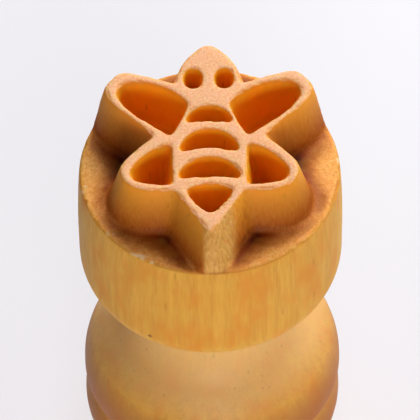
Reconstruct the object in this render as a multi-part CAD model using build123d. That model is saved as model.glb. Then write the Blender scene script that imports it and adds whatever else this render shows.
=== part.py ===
from build123d import *
from math import radians, tan
import os

# A hand stamp for butter: a turned hardwood head with a bee carved in relief
# into its end grain, a turned grip below it, and a fluted dowel glued in
# between. The origin is the middle of the foot's flat base, +Z runs up the
# turning axis, and the bee's head points to +Y. All sizes are millimetres.

# Turned outside
overall_height = 72.0
head_diameter = 28.5         # at its widest stretch
grip_diameter = 28.7         # at the swell, the bead and the foot
neck_diameter = 18.0         # at the glue joint
crown_taper = 0.95           # how much the radius draws in from the belly to the face
head_length = 23.0           # printing face down to the glue joint
crown_length = 14.0          # printing face down to the head's widest stretch
head_roll = 3.9              # radius of the head's rolled lower edge
undercut = 1.35              # height of the flank between that roll and the neck

neck_length = 3.0            # joint down to the start of the swell's upper flank
swell_rise = 12.8            # neck down to the widest part of the swell
swell_share = 0.6            # part of that flank that bulges, below the part that is hollow
swell_land = 0.2             # short straight stretch at that widest part
swell_roll = 1.3             # height of the swell's rounded lower edge
quirk_inset = 1.1            # depth of the narrow groove under the swell
quirk_drop = 0.2             # height of that groove's floor
bead_rise = 3.7              # groove down to the bead's widest line
bead_fall = 5.0              # widest line down to the top of the cove
bead_return = 4.8            # how far the bead turns in at the cove
waist_diameter = 15.2
waist_drop = 5.0             # top of the cove down to the waist
foot_height = 6.0
foot_lip = 1.3               # how far the cove stops short of the foot's edge
foot_edge = 1.2              # rounding at the base

# Carving
relief_depth = 5.5
relief_draft = 16.0          # degrees that the bee's outer walls lean out
wing_cell_draft = 10.0       # degrees that the wing pockets close towards their floors
body_cell_draft = 6.0
cell_corner = 0.3            # cutter radius left in the pockets' corners
drawn_face = 26.6            # face diameter that the outlines below are drawn on

# Glue joint
dowel_diameter = 8.0
dowel_clearance = 0.05       # radial room for the glue
mortise_depth = 10.0         # in the head and in the grip
glue_gap = 0.5               # room left over the dowel's upper end
dowel_chamfer = 0.8
flute_radius = 0.35
flute_count = 14

head_radius = head_diameter / 2
grip_radius = grip_diameter / 2
neck_radius = neck_diameter / 2
face_radius = head_radius - crown_taper
joint_height = overall_height - head_length
field_height = overall_height - relief_depth
outline_scale = 2 * face_radius / drawn_face


def turned(*edges):
    """A solid of revolution from a half section drawn in the XZ plane."""
    section = make_face(Plane.XZ * Wire(edges))
    return revolve(section, axis=Axis.Z)


def outline(*edges):
    """A closed outline on the printing face, at the size of this face."""
    drawn = scale(make_face(Wire(edges)), by=outline_scale)
    return Pos(0, 0, overall_height) * drawn


def both_sides(shape):
    """The shape and its mirror image on the other side of the bee."""
    return shape + mirror(shape, about=Plane.YZ)


def wall(face):
    """A raised part of the bee, widening down to the carved field."""
    return extrude(face, amount=relief_depth, dir=(0, 0, -1), taper=-relief_draft)


def cell(mouth, draft):
    """A pocket that closes evenly down to the level of the carved field."""
    inset = relief_depth * tan(radians(draft))
    box = mouth.bounding_box()
    shrink = (1 - 2 * inset / box.size.X, 1 - 2 * inset / box.size.Y, 1)
    floor = scale(mouth, by=shrink)
    sink = box.center() - floor.bounding_box().center() - Vector(0, 0, relief_depth)
    return loft([mouth, Pos(sink) * floor], ruled=True)


def cornered(face):
    """A pocket's mouth with the cutter's radius left in its corners."""
    return fillet(face.vertices(), radius=cell_corner)


def head_blank():
    roll_bottom = joint_height + undercut
    roll_top = roll_bottom + head_roll
    belly = overall_height - crown_length
    return turned(
        Line((0, joint_height), (neck_radius, joint_height)),
        Line((neck_radius, joint_height), (head_radius - head_roll, roll_bottom)),
        TangentArc((head_radius, roll_top), (head_radius - head_roll, roll_bottom),
                   tangent=(0, -1)),
        Line((head_radius, roll_top), (head_radius, belly)),
        TangentArc((head_radius, belly), (face_radius, overall_height), tangent=(0, 1)),
        Line((face_radius, overall_height), (0, overall_height)),
        Line((0, overall_height), (0, joint_height)),
    )


def bee():
    """Body with head and sting, and two pairs of wings, as raised walls."""
    body = outline(
        ThreePointArc((-0.95, 12.4), (0, 12.9), (0.95, 12.4)),
        ThreePointArc((0.95, 12.4), (2.35, 10.85), (3.35, 8.0)),
        Line((3.35, 8.0), (3.6, -7.0)),
        ThreePointArc((3.6, -7.0), (2.1, -9.45), (0.2, -12.5)),
        Line((0.2, -12.5), (-0.2, -12.5)),
        ThreePointArc((-0.2, -12.5), (-2.1, -9.45), (-3.6, -7.0)),
        Line((-3.6, -7.0), (-3.35, 8.0)),
        ThreePointArc((-3.35, 8.0), (-2.35, 10.85), (-0.95, 12.4)),
    )
    upper_wing = outline(
        ThreePointArc((1.5, 6.5), (5.2, 8.05), (8.4, 9.15)),
        ThreePointArc((8.4, 9.15), (10.5, 8.5), (11.1, 6.8)),
        ThreePointArc((11.1, 6.8), (10.6, 5.5), (9.45, 4.0)),
        ThreePointArc((9.45, 4.0), (7.45, 2.15), (5.8, 0.25)),
        Line((5.8, 0.25), (1.5, -1.0)),
        Line((1.5, -1.0), (1.5, 6.5)),
    )
    lower_wing = outline(
        ThreePointArc((5.8, 0.25), (7.7, -1.55), (9.1, -3.2)),
        ThreePointArc((9.1, -3.2), (9.2, -5.1), (7.9, -6.5)),
        ThreePointArc((7.9, -6.5), (7.2, -6.8), (6.4, -6.95)),
        Line((6.4, -6.95), (1.5, -7.0)),
        Line((1.5, -7.0), (1.5, 1.5)),
        Line((1.5, 1.5), (5.8, 0.25)),
    )
    return wall(body) + both_sides(wall(upper_wing) + wall(lower_wing))


def wing_cells():
    upper = outline(
        ThreePointArc((2.15, 4.7), (4.7, 6.95), (8.3, 7.8)),
        ThreePointArc((8.3, 7.8), (9.55, 7.15), (9.75, 5.8)),
        ThreePointArc((9.75, 5.8), (8.9, 4.35), (7.0, 2.6)),
        Line((7.0, 2.6), (4.1, 0.25)),
        ThreePointArc((4.1, 0.25), (3.05, 2.2), (2.15, 4.7)),
    )
    lower = outline(
        ThreePointArc((4.0, -0.7), (6.45, -1.95), (8.1, -3.8)),
        ThreePointArc((8.1, -3.8), (8.35, -4.85), (7.5, -5.8)),
        ThreePointArc((7.5, -5.8), (5.8, -6.15), (3.85, -6.2)),
        Line((3.85, -6.2), (4.0, -0.7)),
    )
    return both_sides(cell(cornered(upper), wing_cell_draft)
                      + cell(cornered(lower), wing_cell_draft))


def band(corner, crown, sole):
    """The outline of one dark band: an arched top over a flatter sole."""
    half_width, height = corner
    return outline(
        ThreePointArc((-half_width, height), (0, crown), (half_width, height)),
        ThreePointArc((half_width, height), (0, sole), (-half_width, height)),
    )


def body_cells():
    bands = [
        band((2.6, 2.1), 4.4, 2.3),
        band((3.2, -1.95), 1.2, -1.3),
        band((3.4, -5.5), -2.55, -5.15),
    ]
    shield = outline(
        ThreePointArc((-2.5, -6.95), (0, -6.2), (2.5, -6.95)),
        ThreePointArc((2.5, -6.95), (1.7, -8.45), (0.5, -9.75)),
        ThreePointArc((0.5, -9.75), (0, -9.95), (-0.5, -9.75)),
        ThreePointArc((-0.5, -9.75), (-1.7, -8.45), (-2.5, -6.95)),
    )
    eye = Pos(1.67 * outline_scale, 8.15 * outline_scale, overall_height) * Ellipse(
        1.05 * outline_scale, 1.4 * outline_scale)
    cut = both_sides(cell(eye, body_cell_draft)) + cell(cornered(shield), body_cell_draft)
    for one in bands:
        cut += cell(cornered(one), body_cell_draft)
    return cut


def mortise(floor, mouth):
    """A blind hole for the dowel, from its floor to the glue joint."""
    low, high = sorted((floor, mouth))
    hole = Cylinder(dowel_diameter / 2 + dowel_clearance, high - low)
    return Pos(0, 0, (low + high) / 2) * hole


def stamp_head():
    slab = Pos(0, 0, field_height) * Cylinder(
        head_diameter, 2 * relief_depth, align=(Align.CENTER, Align.CENTER, Align.MIN))
    carved = head_blank() - (slab - bee())
    carved -= wing_cells()
    carved -= body_cells()
    return carved - mortise(joint_height + mortise_depth, joint_height)


def handle():
    neck_end = joint_height - neck_length
    swell = neck_end - swell_rise
    turning_point = (grip_radius - swell_share * (grip_radius - neck_radius),
                     swell + swell_share * swell_rise)
    roll_start = swell - swell_land
    groove_top = roll_start - swell_roll
    groove_bottom = groove_top - quirk_drop
    groove_radius = grip_radius - quirk_inset
    bead = groove_bottom - bead_rise
    cove_top = bead - bead_fall
    cove_radius = grip_radius - bead_return
    waist = cove_top - waist_drop
    waist_radius = waist_diameter / 2
    lip_radius = grip_radius - foot_lip
    lip_height = foot_height - foot_lip
    blank = turned(
        Line((0, joint_height), (neck_radius, joint_height)),
        Line((neck_radius, joint_height), (neck_radius, neck_end)),
        TangentArc((neck_radius, neck_end), turning_point, tangent=(0, -1)),
        TangentArc((grip_radius, swell), turning_point, tangent=(0, 1)),
        Line((grip_radius, swell), (grip_radius, roll_start)),
        TangentArc((grip_radius, roll_start), (groove_radius, groove_top), tangent=(0, -1)),
        Line((groove_radius, groove_top), (groove_radius, groove_bottom)),
        TangentArc((grip_radius, bead), (groove_radius, groove_bottom), tangent=(0, 1)),
        TangentArc((grip_radius, bead), (cove_radius, cove_top), tangent=(0, -1)),
        TangentArc((waist_radius, waist), (cove_radius, cove_top), tangent=(0, 1)),
        TangentArc((waist_radius, waist), (lip_radius, foot_height), tangent=(0, -1)),
        TangentArc((grip_radius, lip_height), (lip_radius, foot_height), tangent=(0, 1)),
        Line((grip_radius, lip_height), (grip_radius, foot_edge)),
        TangentArc((grip_radius, foot_edge), (grip_radius - foot_edge, 0), tangent=(0, -1)),
        Line((grip_radius - foot_edge, 0), (0, 0)),
        Line((0, 0), (0, joint_height)),
    )
    return blank - mortise(joint_height - mortise_depth, joint_height)


def joint_dowel():
    """A fluted pin: it stands on the grip's mortise floor, short of the head's."""
    radius = dowel_diameter / 2
    length = 2 * mortise_depth - glue_gap
    pin = Cylinder(radius, length)
    pin = chamfer(pin.edges().filter_by(GeomType.CIRCLE), dowel_chamfer)
    for flute in PolarLocations(radius, flute_count):
        pin -= flute * Cylinder(flute_radius, length)
    return Pos(0, 0, joint_height - mortise_depth + length / 2) * pin


pieces = {"stamp_head": stamp_head(), "handle": handle(), "joint_dowel": joint_dowel()}

os.makedirs("parts", exist_ok=True)
for node, solid in pieces.items():
    solid.label = node
    export_step(solid, f"parts/{node}.step")
    print(f"{node}: {solid.volume:.1f} mm3, valid {solid.is_valid}")
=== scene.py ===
from math import cos, pi, radians, sin

import bpy
import numpy as np
from mathutils import Matrix, Vector, noise
from mathutils.bvhtree import BVHTree


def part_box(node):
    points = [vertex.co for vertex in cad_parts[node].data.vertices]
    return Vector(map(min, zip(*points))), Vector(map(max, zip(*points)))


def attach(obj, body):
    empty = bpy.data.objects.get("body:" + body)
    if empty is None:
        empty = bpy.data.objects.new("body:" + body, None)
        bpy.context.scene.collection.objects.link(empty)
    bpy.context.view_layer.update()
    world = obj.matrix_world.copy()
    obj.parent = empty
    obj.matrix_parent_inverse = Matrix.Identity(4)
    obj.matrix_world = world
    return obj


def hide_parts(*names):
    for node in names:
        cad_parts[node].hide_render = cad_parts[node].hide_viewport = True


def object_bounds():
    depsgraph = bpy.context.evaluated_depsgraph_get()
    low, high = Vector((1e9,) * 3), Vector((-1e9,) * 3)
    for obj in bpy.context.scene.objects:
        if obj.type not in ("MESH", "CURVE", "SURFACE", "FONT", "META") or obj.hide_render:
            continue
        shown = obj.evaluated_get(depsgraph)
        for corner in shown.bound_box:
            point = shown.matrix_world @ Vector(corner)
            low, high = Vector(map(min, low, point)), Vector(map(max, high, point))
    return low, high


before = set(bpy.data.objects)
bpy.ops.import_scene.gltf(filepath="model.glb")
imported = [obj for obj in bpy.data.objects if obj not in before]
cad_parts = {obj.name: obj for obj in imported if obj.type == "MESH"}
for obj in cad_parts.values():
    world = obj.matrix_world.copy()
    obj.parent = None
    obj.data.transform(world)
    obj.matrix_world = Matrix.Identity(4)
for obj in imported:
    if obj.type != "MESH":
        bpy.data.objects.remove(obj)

# A turned wooden butter stamp, standing on its foot with the carved bee up.
# Sizes in the dictionaries are millimetres, the scene is in metres.
mm = 0.001
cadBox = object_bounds()
faceHeight = cadBox[1].z / mm
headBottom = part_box("stamp_head")[0].z / mm
bpy.ops.object.select_all(action="DESELECT")


def tell(words):
    print("stage:", words, flush=True)


def toLinear(hexValue):
    channels = [int(hexValue[i:i + 2], 16) / 255 for i in (1, 3, 5)]
    return [c / 12.92 if c <= 0.04045 else ((c + 0.055) / 1.055) ** 2.4 for c in channels] + [1]


def makeActive(piece):
    bpy.ops.object.select_all(action="DESELECT")
    piece.select_set(True)
    bpy.context.view_layer.objects.active = piece


def applyModifier(piece, kind, **settings):
    makeActive(piece)
    modifier = piece.modifiers.new(kind.title(), kind)
    for name, value in settings.items():
        setattr(modifier, name, value)
    bpy.ops.object.modifier_apply(modifier=modifier.name)


def pointsOf(piece):
    flat = np.empty(len(piece.data.vertices) * 3)
    piece.data.vertices.foreach_get("co", flat)
    return flat.reshape(-1, 3) / mm


def setPoints(piece, points):
    piece.data.vertices.foreach_set("co", (points * mm).ravel())
    piece.data.update()


def normalsOf(piece):
    flat = np.empty(len(piece.data.vertices) * 3)
    piece.data.vertex_normals.foreach_get("vector", flat)
    return flat.reshape(-1, 3)


def grainNoise(points, size, seed):
    # one value from -1 to 1 for each point, in lumps of that size along X, Y and Z
    scaled = points / np.array(size) + 17.3 * seed
    return np.array([noise.noise(p) for p in scaled.tolist()])


def ramp(values, low, high):
    share = np.clip((values - low) / (high - low), 0, 1)
    return share * share * (3 - 2 * share)


def fade(values, near, far):
    return ramp(-values, -far, -near)


def paint(piece, name, values):
    layer = piece.data.attributes.new(name, "FLOAT", "POINT")
    layer.data.foreach_set("value", np.clip(values, 0, 1).astype(np.float32))


def copyOfNode(name, node):
    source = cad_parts[node]
    piece = bpy.data.objects.new(name, source.data.copy())
    piece.data.name = name
    piece.data.materials.clear()
    bpy.context.scene.collection.objects.link(piece)
    makeActive(piece)
    bpy.ops.object.mode_set(mode="EDIT")
    bpy.ops.mesh.select_all(action="SELECT")
    bpy.ops.mesh.remove_doubles(threshold=0.001 * mm)
    bpy.ops.object.mode_set(mode="OBJECT")
    return piece


def turnedOutline(node):
    # (height, radius) down the outside of a turned CAD node, read along its seam
    corners = np.array([v.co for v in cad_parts[node].data.vertices]) / mm
    onSeam = corners[(abs(corners[:, 1]) < 0.001) & (corners[:, 0] > 5)]
    steps = sorted({(round(z, 3), round(x, 3)) for x, y, z in onSeam.tolist()})
    return np.array(steps)


def easedOutline(outline, spacing, cornerAngle):
    # a finer outline through the same points: curved stretches stay curved, corners stay corners
    points = [Vector((r, z)) for z, r in outline]
    sharp = [True]
    for before, here, after in zip(points, points[1:], points[2:]):
        sharp.append((here - before).angle(after - here) > radians(cornerAngle))
    sharp.append(True)
    fine = []
    for i in range(len(points) - 1):
        a, b = points[i], points[i + 1]
        run = b - a
        before = run if sharp[i] else (b - points[i - 1]).normalized() * run.length
        after = run if sharp[i + 1] else (points[i + 2] - a).normalized() * run.length
        count = max(1, round(run.length / spacing))
        for k in range(count):
            t = k / count
            t2, t3 = t * t, t * t * t
            fine.append((2 * t3 - 3 * t2 + 1) * a + (t3 - 2 * t2 + t) * before
                        + (3 * t2 - 2 * t3) * b + (t3 - t2) * after)
    return fine + [points[-1]]


# The head: end-grain relief cut down to a field, on a turned barrel.
carvedHead = {
    "reliefDepth": 5.5,
    "cell": 0.15,            # mesh size while the arrises are being softened
    "softening": 28,         # smoothing passes, as from sanding and use
    "valleys": 70,           # further passes, kept only where they fill the cutter's corners
    "arrisLoss": (0.01, 0.08),   # a point that softening sinks by this much is on an arris
    "valleyFill": (0.0, 0.04),   # and one that the further passes raise by this is in a corner
    "tipRadii": (10.2, 12.0),    # out here the wings' tips keep most of those passes too
    "tipShare": 0.8,
    "tipRise": (0.4, 1.4),       # above the field
    "barrelTop": 1.1,            # the barrel is exact from here below the field
    "barrelFoot": 0.2,           # to here above the joint
    "barrelReach": 0.035,        # and holds points that lie this close to it
    "chatter": 0.02,         # upright ripples that the cutter left on the walls
    "chatterWidth": 0.4,
    "ripple": (0.9, 0.9, 1.6),   # size of the slight unevenness all over, half as deep
    "tornWall": 0.15,        # the sting's right wall was cut against the grain
    "tornWidth": 0.32,
    "tornPart": ((0.1, 0.5), (3.6, 4.6), (7.2, 8.0)),    # from the left, to the right, tailward
    "litRidgePart": ((-1.0, -0.4), (1.9, 3.1), (8.0, 9.6)),  # the sting's ridge and torn wall
    "litRidgeShadeCut": 0.85,      # how much of the painted corner shade is left off there
    "fieldWaves": 0.05,      # the field is cut across the grain and isn't flat
    "waveSize": (1.1, 0.7, 2.0),
    "waveSink": 0.3,
    "fuzz": 0.02,            # torn fibres on the printing face
    "fuzzSize": (0.3, 0.3, 0.9),
    "nicks": 0.12,           # small losses along the arrises
    "nickLength": 0.8,
    "nickStart": (0.12, 0.5),    # noise above this leaves a nick
    "triangles": 188000,
    "shelterRays": 48,
    "shelterReach": 7.0,
    "creaseReach": 5.0,
    "creaseHeights": (0.5, 2.2),  # above the field, where the painted shade in its corners fades out
    "rayStart": 0.03,             # off the surface
    "grazing": 0.08,              # flatter rays don't count
    "ringRays": 24,
    "ringReach": 15.0,
    "ringRise": 0.07,
    "ringShare": (0.8, 0.97),     # walled in on so many sides, it is a pocket
}

# Small marks: X, Y, Z and radius. The field's rim is rubbed through to dry, pale wood in places,
# and there are three dark mineral flecks.
rubbedSpots = ((-11.0, -8.5, 66.4, 0.5), (-7.9, -11.4, 66.4, 0.5), (-7.1, -11.95, 66.3, 0.65),
               (-6.4, -12.3, 66.3, 0.5), (13.6, 0.8, 66.3, 0.5), (-13.4, -2.5, 66.2, 0.4))
darkFlecks = ((-6.6, -12.6, 53.9, 0.3), (7.07, -7.6, 69.9, 0.17), (2.6, -13.9, 58.0, 0.12))


def markedBy(points, spots, wander):
    marked = np.zeros(len(points))
    for x, y, z, size in spots:
        near = np.sqrt(((points - (x, y, z)) ** 2).sum(axis=1))
        near += wander * grainNoise(points, (0.6,) * 3, 8)
        marked = np.maximum(marked, ramp(-near, -size, -0.4 * size))
    return marked


def relaxed(piece, values, passes):
    # each point's value drawn towards the mean of its neighbours
    ends = np.empty(len(piece.data.edges) * 2, dtype=np.int64)
    piece.data.edges.foreach_get("vertices", ends)
    a, b = ends.reshape(-1, 2).T
    count = np.bincount(a, minlength=len(values)) + np.bincount(b, minlength=len(values))
    for _ in range(passes):
        total = (np.bincount(a, values[b], minlength=len(values))
                 + np.bincount(b, values[a], minlength=len(values)))
        values = 0.4 * values + 0.6 * total / np.maximum(count, 1)
    return values


def spread(count):
    # directions evenly over a sphere
    golden = pi * (3 - 5 ** 0.5)
    heights = [1 - (2 * i + 1) / count for i in range(count)]
    return [Vector(((1 - z * z) ** 0.5 * cos(golden * i), (1 - z * z) ** 0.5 * sin(golden * i), z))
            for i, z in enumerate(heights)]


def shelterOf(piece, look):
    # per point: how shut in it is, how much of that is close by, and how walled in on all sides
    mesh = piece.data
    corners = [v.co.copy() for v in mesh.vertices]
    tree = BVHTree.FromPolygons(corners, [tuple(p.vertices) for p in mesh.polygons])
    directions = spread(look["shelterRays"])
    turns = [2 * pi * i / look["ringRays"] for i in range(look["ringRays"])]
    ring = [Vector((cos(t), sin(t), look["ringRise"])).normalized() for t in turns]
    far, near = look["shelterReach"] * mm, look["creaseReach"] * mm
    low = (faceHeight - look["reliefDepth"] - 0.5) * mm
    measured = np.zeros((len(corners), 3))
    for i, (corner, normal) in enumerate(zip(corners, normalsOf(piece).tolist())):
        if corner.z < low:
            continue
        normal = Vector(normal)
        start = corner + normal * look["rayStart"] * mm
        seen = blocked = close = 0.0
        for direction in directions:
            facing = direction.dot(normal)
            if facing > look["grazing"]:
                seen += facing
                reach = tree.ray_cast(start, direction, far)[3]
                if reach is not None:
                    blocked += facing
                    close += facing * max(0, 1 - reach / near)
        walled = sum(tree.ray_cast(start, r, look["ringReach"] * mm)[0] is not None for r in ring)
        measured[i] = blocked / seen, close / seen, walled / len(ring)
    return measured.T


def stingPart(points, left, right, tailward):
    # 1 on that stretch of the sting and 0 off it
    across = points[:, 0]
    return ramp(across, *left) * fade(across, *right) * ramp(-points[:, 1], *tailward)


def makeHead():
    look = carvedHead
    piece = copyOfNode("carved_head", "stamp_head")
    applyModifier(piece, "REMESH", mode="VOXEL", voxel_size=look["cell"] * mm)
    before = pointsOf(piece)
    applyModifier(piece, "SMOOTH", factor=0.5, iterations=look["softening"])
    points = pointsOf(piece)
    normals = normalsOf(piece)
    arris = ramp(((before - points) * normals).sum(axis=1), *look["arrisLoss"])
    applyModifier(piece, "SMOOTH", factor=0.5, iterations=look["valleys"])
    filled = pointsOf(piece) - points
    field = faceHeight - look["reliefDepth"]
    radius = np.hypot(points[:, 0], points[:, 1])
    atTips = look["tipShare"] * ramp(radius, *look["tipRadii"])
    atTips *= ramp(points[:, 2], *(field + rise for rise in look["tipRise"]))
    kept = np.maximum(ramp((filled * normals).sum(axis=1), *look["valleyFill"]), atTips)
    points += filled * kept[:, None]

    # the barrel goes back to the turned outline, free of its facets
    outline = turnedOutline("stamp_head")
    radius = np.hypot(points[:, 0], points[:, 1])
    turned = np.interp(points[:, 2], outline[:, 0], outline[:, 1])
    gap = turned - radius
    onBarrel = (abs(gap) < look["barrelReach"]) & (points[:, 2] > headBottom + look["barrelFoot"])
    onBarrel &= points[:, 2] < field - look["barrelTop"]
    points[onBarrel, :2] *= (turned / np.maximum(radius, 1e-6))[onBarrel, None]

    inRelief = ramp(points[:, 2], field + 0.1, field + 0.5)
    upright = ramp(-abs(normals[:, 2]), -0.75, -0.45)
    onFace = ramp(points[:, 2], faceHeight - 0.15, faceHeight - 0.05)
    onField = ramp(-abs(points[:, 2] - field), -0.5, -0.15) * ramp(normals[:, 2], 0.6, 0.9)
    width = look["chatterWidth"]
    push = look["chatter"] * grainNoise(points, (width, width, 8 * width), 1) * upright * inRelief
    push += look["chatter"] * 0.5 * grainNoise(points, look["ripple"], 2)
    torn = stingPart(points, *look["tornPart"])
    width = look["tornWidth"]
    slivers = grainNoise(points, (width, width, 2.2 * width), 6)
    push += look["tornWall"] * slivers * torn * upright * inRelief
    push -= look["fuzz"] * abs(grainNoise(points, look["fuzzSize"], 3)) * onFace
    waves = grainNoise(points, look["waveSize"], 4) - look["waveSink"]
    push += look["fieldWaves"] * waves * onField
    lossAt = ramp(grainNoise(points, (look["nickLength"],) * 3, 5), *look["nickStart"])
    push -= look["nicks"] * arris * lossAt
    inside = ~onBarrel & (radius < outline[:, 1].min() + 0.3) & (points[:, 2] < field - 0.5)
    push[inside] = 0
    points += normals * push[:, None]
    setPoints(piece, points)

    share = look["triangles"] / (2 * len(piece.data.polygons))
    if share < 1:
        applyModifier(piece, "DECIMATE", decimate_type="COLLAPSE", ratio=share)
    points = pointsOf(piece)
    points[:, 2] = np.clip(points[:, 2], headBottom, faceHeight)
    setPoints(piece, points)
    makeActive(piece)
    bpy.ops.object.shade_smooth()
    shut, close, walled = shelterOf(piece, look)
    # the pocket and shelter values steer the painted bounce light and shade of the pockets
    pocket = relaxed(piece, ramp(walled, *look["ringShare"]), 3)
    shut = relaxed(piece, shut, 4)
    nearField = fade(points[:, 2] - field, *look["creaseHeights"])
    # the sting's ridge and torn wall: the painted corner shade is mostly left off, and they are
    # painted paler, partly as lit
    litRidge = stingPart(points, *look["litRidgePart"]) * ramp(points[:, 2], field - 0.1, field + 0.25)
    # painted shade: how shut in each point is close by, near the field and outside the pockets,
    # darkens the corners at the walls' feet
    creaseShade = relaxed(piece, close * nearField, 8) * (1 - pocket)
    creaseShade *= 1 - look["litRidgeShadeCut"] * litRidge
    paint(piece, "shelter", shut)
    paint(piece, "pocket", pocket)
    paint(piece, "creaseShade", creaseShade)
    paint(piece, "litRidge", litRidge)
    paint(piece, "rubbed", markedBy(points, rubbedSpots, 0.8))
    paint(piece, "fleck", markedBy(points, darkFlecks, 0.1))
    tell(f"head carved, {len(piece.data.polygons)} faces")
    return piece


# The grip: turned from the same stick, with the lathe's fine rings left on it.
turnedGrip = {
    "steps": 176,            # round the axis
    "spacing": 0.32,         # down the outline
    "rings": 0.012,          # height of the lathe's rings
    "ringPitch": 0.38,
    "ringMargin": 0.4,       # no rings this close to the foot and the glued face
    "unevenness": 0.03,      # hand sanding
    "unevenSize": (4.0, 4.0, 3.0),
    "unevenSink": 0.6,
    "cornerAngle": 22,       # degrees: sharper turns of the outline stay corners
    "shadeAngle": 38,
    "dish": 0.25,            # the foot is hollowed a little, so it stands on its rim
    "dishSteps": 24,
    "mortiseRadius": 4.05,
    "mortiseDepth": 10.0,
    "mortiseRim": 1.2,       # two extra rings keep the glued face flat
    "neckRim": 1.6,
}


def makeGrip():
    look = turnedGrip
    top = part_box("handle")[1].z / mm
    rounded = easedOutline(turnedOutline("handle"), look["spacing"], look["cornerAngle"])
    rim = rounded[0].x
    outward = [k / look["dishSteps"] for k in range(look["dishSteps"])]
    base = [Vector((rim * t, look["dish"] * (1 - t ** 2) ** 2)) for t in outward]
    hole = look["mortiseRadius"]
    floor = top - look["mortiseDepth"]
    inner = [Vector((rounded[-1].x - look["neckRim"], top)),
             Vector((hole + look["mortiseRim"], top)), Vector((hole, top)),
             Vector((hole, floor)), Vector((0, floor))]
    profile = base + rounded + inner
    margin = look["ringMargin"]
    for point in profile:
        if margin < point.y < top - margin and point.x > hole + 0.5:
            ring = noise.noise((0, 0, point.y / look["ringPitch"]))
            point.x -= look["rings"] * (1 + ring)
    mesh = bpy.data.meshes.new("turned_grip")
    mesh.from_pydata([(p.x * mm, 0, p.y * mm) for p in profile],
                     [(i, i + 1) for i in range(len(profile) - 1)], [])
    piece = bpy.data.objects.new("turned_grip", mesh)
    bpy.context.scene.collection.objects.link(piece)
    makeActive(piece)
    bpy.ops.object.mode_set(mode="EDIT")
    bpy.ops.mesh.select_all(action="SELECT")
    bpy.ops.mesh.spin(steps=look["steps"], angle=2 * pi, center=(0, 0, 0), axis=(0, 0, 1))
    bpy.ops.mesh.select_all(action="SELECT")
    bpy.ops.mesh.remove_doubles(threshold=0.002 * mm)
    bpy.ops.mesh.normals_make_consistent(inside=False)
    bpy.ops.object.mode_set(mode="OBJECT")
    points = pointsOf(piece)
    radius = np.hypot(points[:, 0], points[:, 1])
    loose = (radius > hole + 0.5) & (points[:, 2] > 0.5) & (points[:, 2] < top - 0.3)
    push = look["unevenness"] * (grainNoise(points, look["unevenSize"], 11) - look["unevenSink"])
    points += normalsOf(piece) * np.where(loose, push, 0)[:, None]
    setPoints(piece, points)
    makeActive(piece)
    bpy.ops.object.shade_smooth_by_angle(angle=radians(look["shadeAngle"]))
    tell(f"grip turned, {len(piece.data.polygons)} faces")
    return piece


def addNode(tree, kind, settings, links):
    # settings: property or input name (or input number) to value; links: input to output socket
    node = tree.nodes.new("ShaderNode" + kind)
    for name, value in settings.items():
        if isinstance(name, str) and hasattr(node, name):
            setattr(node, name, value)
        else:
            node.inputs[name].default_value = value
    for name, source in links.items():
        tree.links.new(source, node.inputs[name])
    return node


# Oiled maple: pale, close-grained and diffuse-porous. It was turned and sanded, which gives the
# side a satin sheen with fine upright streaks. Cut across, the fibres' ends show as a pale
# mottled face. The carved hollows are painted orange to red brown: painted bounce light in the
# pockets and painted shade in the corners.
oiledMaple = {
    "sideLight": "#EDB550",
    "sideMiddle": "#E0A240",
    "sideDark": "#D29034",
    "sideBlotch": "#E08E34",
    "flank": "#F0C684",      # the narrower hollows painted paler: a painted sheen
    "flankRadii": (13.3, 11.5),
    "rimShade": "#AC5A0E",    # raised rims, darker and redder at the widest radius: painted shade
    "rimShadeRadii": (13.2, 14.3),
    "endLight": "#F8C698",
    "endDark": "#EDA876",
    "fieldLight": "#FFC470",
    "fieldDark": "#EC9E48",
    "wall": "#E89628",
    "wallFootShade": "#A44C08",
    "wallFoot": 0.8,         # above the field; below here the walls are painted dark as shade
    "wallTop": 0.6,          # below the face
    # pockets: painted orange glow of light bouncing inside them, darker where more shut in as painted
    # shade
    "pocketOpen": "#F8AC20",
    "pocketDeep": "#F29E16",
    "pocketShelter": (0.45, 0.95),
    # painted shade in the corners at the walls' feet, orange at its edge and dark brown at its core
    "creaseShadeEdge": "#DC8A38",
    "creaseShade": "#581802",
    "creaseShadeTint": (0.015, 0.14),    # how shut in the field is where painted shade turns it orange, where it turns brown, and where the walls' feet do
    "creaseShadeOnField": (0.035, 0.185),   # where it turns brown,
    "creaseShadeOnWalls": (0.1, 0.36),      # and where the walls' feet do
    "litRidgeLight": "#E4AE5E",  # the sting's ridge and torn wall, painted paler: partly the torn fibres' own tone, partly painted light
    "litRidgeDark": "#CC8E40",
    "dryWood": "#F4E0B8",
    "pore": "#5E2E12",
    "pith": (-34.0, 21.0, 0.0),
    "ringSpacing": 1.9,
    "fibreWidth": 0.22,
    "fibreLength": 3.5,
    "streakWidth": 0.9,
    "streakLength": 22.0,
    "blotchSize": 3.2,
    "poreSpacing": 1.1,
    "mottleSize": 0.24,
    "roughness": 0.5,
    "roughnessSpread": (-0.08, 0.16),
    "headSheen": 0.1,        # torn end grain scatters nearly all of it
    "gripSheen": 0.35,
    "ior": 1.5,
    "bump": 0.03,
    "glow": 0.5,             # light soaks along the grain and comes out orange
    "glowDepth": 1.5,
    "glowColour": (1.0, 0.4, 0.08),
}


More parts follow.
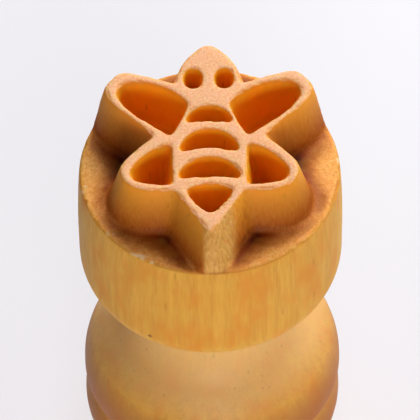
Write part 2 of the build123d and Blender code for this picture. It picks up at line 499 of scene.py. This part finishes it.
def makeWood(name, look, carved):
    material = bpy.data.materials.new(name)
    material.use_nodes = True
    tree = material.node_tree
    tree.nodes.clear()
    perMm = 1 / mm
    where = addNode(tree, "TexCoord", {}, {})

    def pattern(width, length, detail, seed):
        # a noise with that grain size across and along the stick
        size = (perMm / width, perMm / width, perMm / length)
        place = addNode(tree, "Mapping", {"Scale": size, "Location": (seed, 0, 0)},
                        {"Vector": where.outputs["Object"]})
        return addNode(tree, "TexNoise", {"Scale": 1.0, "Detail": detail, "Roughness": 0.6},
                       {"Vector": place.outputs["Vector"]}).outputs["Fac"]

    def share(value, low, high, top=1.0):
        return addNode(tree, "MapRange", {"From Min": low, "From Max": high, "To Max": top},
                       {"Value": value}).outputs["Result"]

    def blend(part, below, above, mode="MIX"):
        # colours come as hex values or as sockets
        settings, links = {"data_type": "RGBA", "blend_type": mode}, {0: part}
        for socket, colour in ((6, below), (7, above)):
            if isinstance(colour, str):
                settings[socket] = toLinear(colour)
            else:
                links[socket] = colour
        return addNode(tree, "Mix", settings, links).outputs[2]

    def both(one, other):
        return addNode(tree, "Math", {"operation": "MULTIPLY"}, {0: one, 1: other}).outputs[0]

    fibres = pattern(look["fibreWidth"], look["fibreLength"], 3.0, 7)
    streaks = pattern(look["streakWidth"], look["streakLength"], 3.0, 3)
    blotches = pattern(look["blotchSize"], 2 * look["blotchSize"], 2.0, 11)
    mottle = pattern(look["mottleSize"], 2 * look["mottleSize"], 3.0, 5)

    # side grain: growth rings cut lengthways, upright streaks, warmer blotches
    fromPith = addNode(tree, "Mapping", {
        "Scale": (perMm,) * 3, "Location": tuple(-p for p in look["pith"])},
        {"Vector": where.outputs["Object"]})
    rings = addNode(tree, "TexWave", {
        "wave_type": "RINGS", "rings_direction": "Z", "Scale": 0.314 / look["ringSpacing"],
        "Distortion": 1.6, "Detail": 2.0, "Detail Scale": 0.35},
        {"Vector": fromPith.outputs["Vector"]})
    colour = blend(share(streaks, 0.3, 0.6), look["sideDark"], look["sideMiddle"])
    colour = blend(share(fibres, 0.35, 0.7, 0.55), colour, look["sideLight"])
    colour = blend(share(blotches, 0.48, 0.68, 0.8), colour, look["sideBlotch"])
    colour = blend(share(rings.outputs["Fac"], 0.0, 1.0, 0.16), colour, look["sideDark"])

    flat = addNode(tree, "Mapping", {"Scale": (perMm, perMm, 0)},
                   {"Vector": where.outputs["Object"]})
    radius = addNode(tree, "VectorMath", {"operation": "LENGTH"},
                     {0: flat.outputs["Vector"]}).outputs["Value"]
    if not carved:
        # painted sheen: the grip paler where it narrows
        colour = blend(share(radius, *look["flankRadii"], 0.5), colour, look["flank"])
        # painted shade: the widest rims darker and redder
        colour = blend(share(radius, *look["rimShadeRadii"], 0.85), colour, look["rimShade"])

    facing = addNode(tree, "SeparateXYZ", {}, {"Vector": where.outputs["Normal"]}).outputs["Z"]
    height = addNode(tree, "SeparateXYZ", {}, {"Vector": where.outputs["Object"]}).outputs["Z"]
    up = share(facing, 0.55, 0.99)
    mottled = share(mottle, 0.36, 0.62)
    if carved:
        # these were painted on the head's points when it was carved
        painted = {name: addNode(tree, "Attribute", {"attribute_name": name}, {}).outputs["Fac"]
                   for name in ("shelter", "pocket", "creaseShade", "litRidge", "rubbed", "fleck")}
        field = faceHeight - carvedHead["reliefDepth"]
        low, high = field + look["wallFoot"], faceHeight - look["wallTop"]
        # painted shade: the walls darker towards their feet
        walls = blend(share(height, low * mm, high * mm), look["wallFootShade"], look["wall"])
        walls = blend(share(fibres, 0.35, 0.75, 0.16), walls, look["sideLight"])
        # painted shade darkens the walls' feet in the corners
        walls = blend(share(painted["creaseShade"], *look["creaseShadeOnWalls"]), walls, look["creaseShade"])
        # the sting's ridge and torn wall painted paler: partly their torn fibres, partly painted light
        litRidge = blend(share(fibres, 0.35, 0.65), look["litRidgeDark"], look["litRidgeLight"])
        walls = blend(painted["litRidge"], walls, litRidge)
        floors = blend(mottled, look["fieldDark"], look["fieldLight"])
        # painted shade on the field around the walls' feet: an orange tint, then dark brown
        edge = share(painted["creaseShade"], *look["creaseShadeTint"])
        floors = blend(edge, floors, look["creaseShadeEdge"], "MULTIPLY")
        floors = blend(share(painted["creaseShade"], *look["creaseShadeOnField"]), floors, look["creaseShade"])
        outer = blend(up, walls, floors)
        # painted bounce light in the pockets, darker deeper in as painted shade
        deep = share(painted["shelter"], *look["pocketShelter"])
        pockets = blend(deep, look["pocketOpen"], look["pocketDeep"])
        cut = blend(painted["pocket"], outer, pockets)
        cut = blend(painted["rubbed"], cut, look["dryWood"])
        inRelief = share(height, (field - 0.3) * mm, (field + 0.05) * mm)
        colour = blend(inRelief, colour, cut)
        colour = blend(painted["fleck"], colour, look["pore"])
    endGrain = blend(mottled, look["endDark"], look["endLight"])
    atFace = share(height, (faceHeight - 0.6) * mm, (faceHeight - 0.08) * mm)
    colour = blend(both(up, atFace), colour, endGrain)
    poreCells = addNode(tree, "Mapping", {
        "Scale": (perMm / look["poreSpacing"],) * 2 + (perMm / 6 / look["poreSpacing"],)},
        {"Vector": where.outputs["Object"]})
    pores = addNode(tree, "TexVoronoi", {"Scale": 1.0, "Randomness": 1.0},
                    {"Vector": poreCells.outputs["Vector"]})
    colour = blend(share(pores.outputs["Distance"], 0.13, 0.05, 0.22), colour, look["pore"])

    relief = addNode(tree, "Math", {"operation": "ADD"}, {0: fibres, 1: mottle})
    bump = addNode(tree, "Bump", {"Strength": 0.5, "Distance": look["bump"] * mm},
                   {"Height": relief.outputs[0]})
    least, most = (look["roughness"] + step for step in look["roughnessSpread"])
    rough = addNode(tree, "MapRange", {"To Min": least, "To Max": most}, {"Value": blotches})
    surface = addNode(tree, "BsdfPrincipled", {
        "IOR": look["ior"],
        "Subsurface Weight": look["glow"],
        "Subsurface Radius": look["glowColour"],
        "Subsurface Scale": look["glowDepth"] * mm,
        "Specular IOR Level": look["headSheen"] if carved else look["gripSheen"]},
        {"Base Color": colour, "Normal": bump.outputs["Normal"], "Roughness": rough.outputs["Result"]})
    addNode(tree, "OutputMaterial", {}, {"Surface": surface.outputs["BSDF"]})
    return material


# A light tent: a pale floor, an even white surround, a wide softbox behind and to the right,
# and weaker ones in front and low on both sides.
tent = {
    "floorSize": 3000.0,
    "floorColour": "#E8E7EC",
    "surround": "#F4F5FA",
    "surroundStrength": 0.1,
    "backBox": {"place": (130.0, 330.0, 390.0), "size": (420.0, 220.0), "power": 3.05},
    "frontBox": {"place": (60.0, -500.0, 150.0), "size": (260.0, 180.0), "power": 1.5},
    "leftBox": {"place": (-480.0, 90.0, 190.0), "size": (200.0, 130.0), "power": 0.08},
    "rightBox": {"place": (480.0, 90.0, 190.0), "size": (200.0, 130.0), "power": 0.3},
}


def addSoftbox(name, box):
    bpy.ops.object.light_add(type="AREA", location=[p * mm for p in box["place"]])
    lamp = bpy.context.object
    lamp.name = name
    lamp.data.shape = "RECTANGLE"
    lamp.data.size, lamp.data.size_y = (s * mm for s in box["size"])
    lamp.data.energy = box["power"]
    aim = Vector((0, 0, faceHeight * mm)) - lamp.location
    lamp.rotation_euler = aim.to_track_quat("-Z", "Y").to_euler()


def makeTent():
    bpy.ops.mesh.primitive_plane_add(size=tent["floorSize"] * mm, location=(0, 0, 0))
    floor = bpy.context.object
    floor.name = "floor"
    paper = bpy.data.materials.new("matt white paper")
    paper.use_nodes = True
    paper.node_tree.nodes.clear()
    surface = addNode(paper.node_tree, "BsdfPrincipled",
                      {"Base Color": toLinear(tent["floorColour"]), "Roughness": 0.9}, {})
    addNode(paper.node_tree, "OutputMaterial", {}, {"Surface": surface.outputs["BSDF"]})
    floor.data.materials.append(paper)
    world = bpy.data.worlds.new("light tent")
    bpy.context.scene.world = world
    world.use_nodes = True
    world.node_tree.nodes["Background"].inputs["Color"].default_value = toLinear(tent["surround"])
    world.node_tree.nodes["Background"].inputs["Strength"].default_value = tent["surroundStrength"]
    for name in ("backBox", "frontBox", "leftBox", "rightBox"):
        addSoftbox(name, tent[name])
    bpy.context.scene.view_settings.view_transform = "Standard"
    tell("light tent up")


# The camera looks down on the face from the tail's side, from far enough to flatten it.
camera = {
    "distance": 457.2,
    "elevation": 52.03,
    "aimBelowFace": 12.5,
    "aimRight": -0.02,
    "fieldOfView": 5.667,
    "tilt": -0.73,
}


def makeCamera():
    rise = radians(camera["elevation"])
    aim = Vector((camera["aimRight"], 0, faceHeight - camera["aimBelowFace"])) * mm
    back = Vector((0, -cos(rise), sin(rise)))
    bpy.ops.object.camera_add(location=aim + back * camera["distance"] * mm)
    eye = bpy.context.object
    level = (-back).to_track_quat("-Z", "Y").to_matrix()
    tilt = Matrix.Rotation(radians(camera["tilt"]), 3, "Z")
    eye.rotation_euler = (level @ tilt).to_euler()
    eye.data.angle = radians(camera["fieldOfView"])
    bpy.context.scene.camera = eye
    tell("camera set")


makeCamera()
makeTent()

headWood = makeWood("oiled maple, carved end grain", oiledMaple, carved=True)
gripWood = makeWood("oiled maple, turned", oiledMaple, carved=False)

head = makeHead()
head.data.materials.append(headWood)
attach(head, "root")
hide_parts("stamp_head")

grip = makeGrip()
grip.data.materials.append(gripWood)
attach(grip, "root")
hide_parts("handle")

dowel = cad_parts["joint_dowel"]
dowel.data.materials.clear()
dowel.data.materials.append(gripWood)
